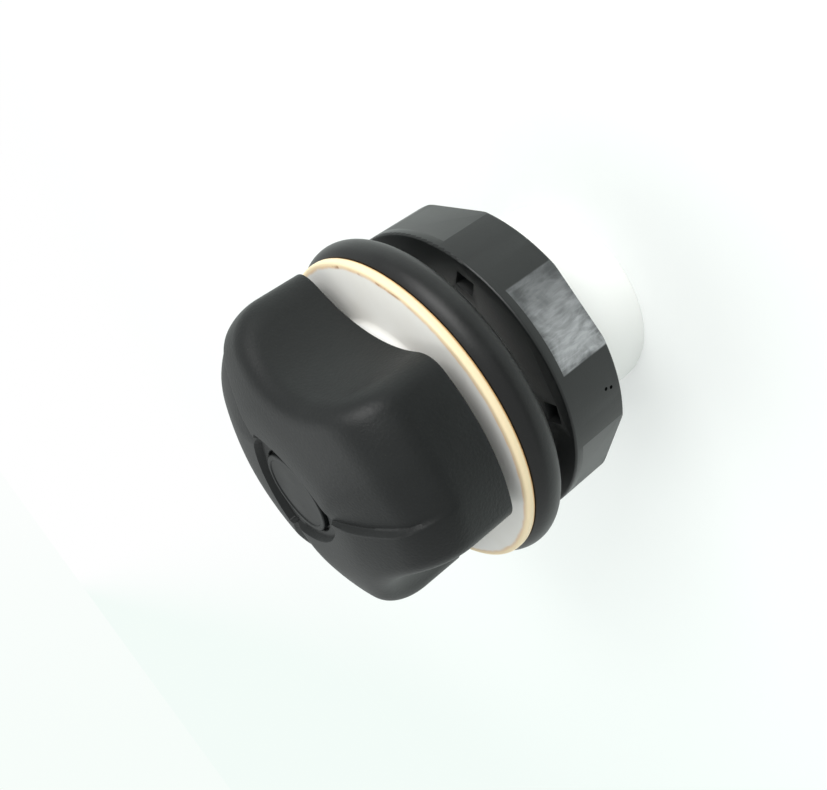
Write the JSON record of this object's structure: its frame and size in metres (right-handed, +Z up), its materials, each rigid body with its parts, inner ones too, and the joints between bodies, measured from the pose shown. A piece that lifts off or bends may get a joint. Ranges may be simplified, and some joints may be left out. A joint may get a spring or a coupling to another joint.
{
  "type": "oil filler neck",
  "caption": "Oil filler neck with a hose pipe, flange, thick sealing ring, lock nut and a three-lobed black screw cap.",
  "frame": {"origin": "on the neck's axis, at the open end of the hose pipe", "axes": "+Z up the axis, from the hose pipe to the cap; +Y and +X across it, with one flat of the lock nut facing -Y"},
  "size_m": [0.0836, 0.0836, 0.0882],
  "materials": {
    "neck_plastic": "off-white moulded plastic, satin, with a cream flange edge",
    "ring_rubber": "black rubber, matt",
    "nut_plastic": "black moulded plastic, semi-gloss, scuffed on its flats",
    "cap_plastic": "black moulded plastic with a fine grain",
    "badge_plastic": "smooth black plastic",
    "seal_rubber": "black rubber"
  },
  "bodies": {
    "neck": {"neck_body": "neck_plastic"},
    "ring": {"sealing_ring": "ring_rubber"},
    "nut": {"lock_nut": "nut_plastic"},
    "seal": {"cap_seal": "seal_rubber"},
    "cap": {"cap_knob": "cap_plastic", "cap_badge": "badge_plastic"}
  },
  "joints": [
    {"name": "nut_turn", "type": "hinge", "parent": "neck", "child": "ring", "pos_m": [0, 0, 0.05], "axis": [0, 0, 1], "range_deg": [-1620, 585]},
    {"name": "nut_travel", "type": "slide", "parent": "ring", "child": "nut", "axis": [0, 0, 1], "range_m": [-0.01801, 0.00651]},
    {"name": "cap_lift", "type": "slide", "parent": "neck", "child": "seal", "axis": [0, 0, 1], "range_m": [0, 0.01801]},
    {"name": "cap_turn", "type": "hinge", "parent": "seal", "child": "cap", "pos_m": [0, 0, 0.06], "axis": [0, 0, 1], "range_deg": [0, 1080]}
  ],
  "couplings": [
    {"joint": "nut_travel", "follows": "nut_turn", "m_per_rad": 0.00063662},
    {"joint": "cap_lift", "follows": "cap_turn", "m_per_rad": 0.00095493}
  ]
}
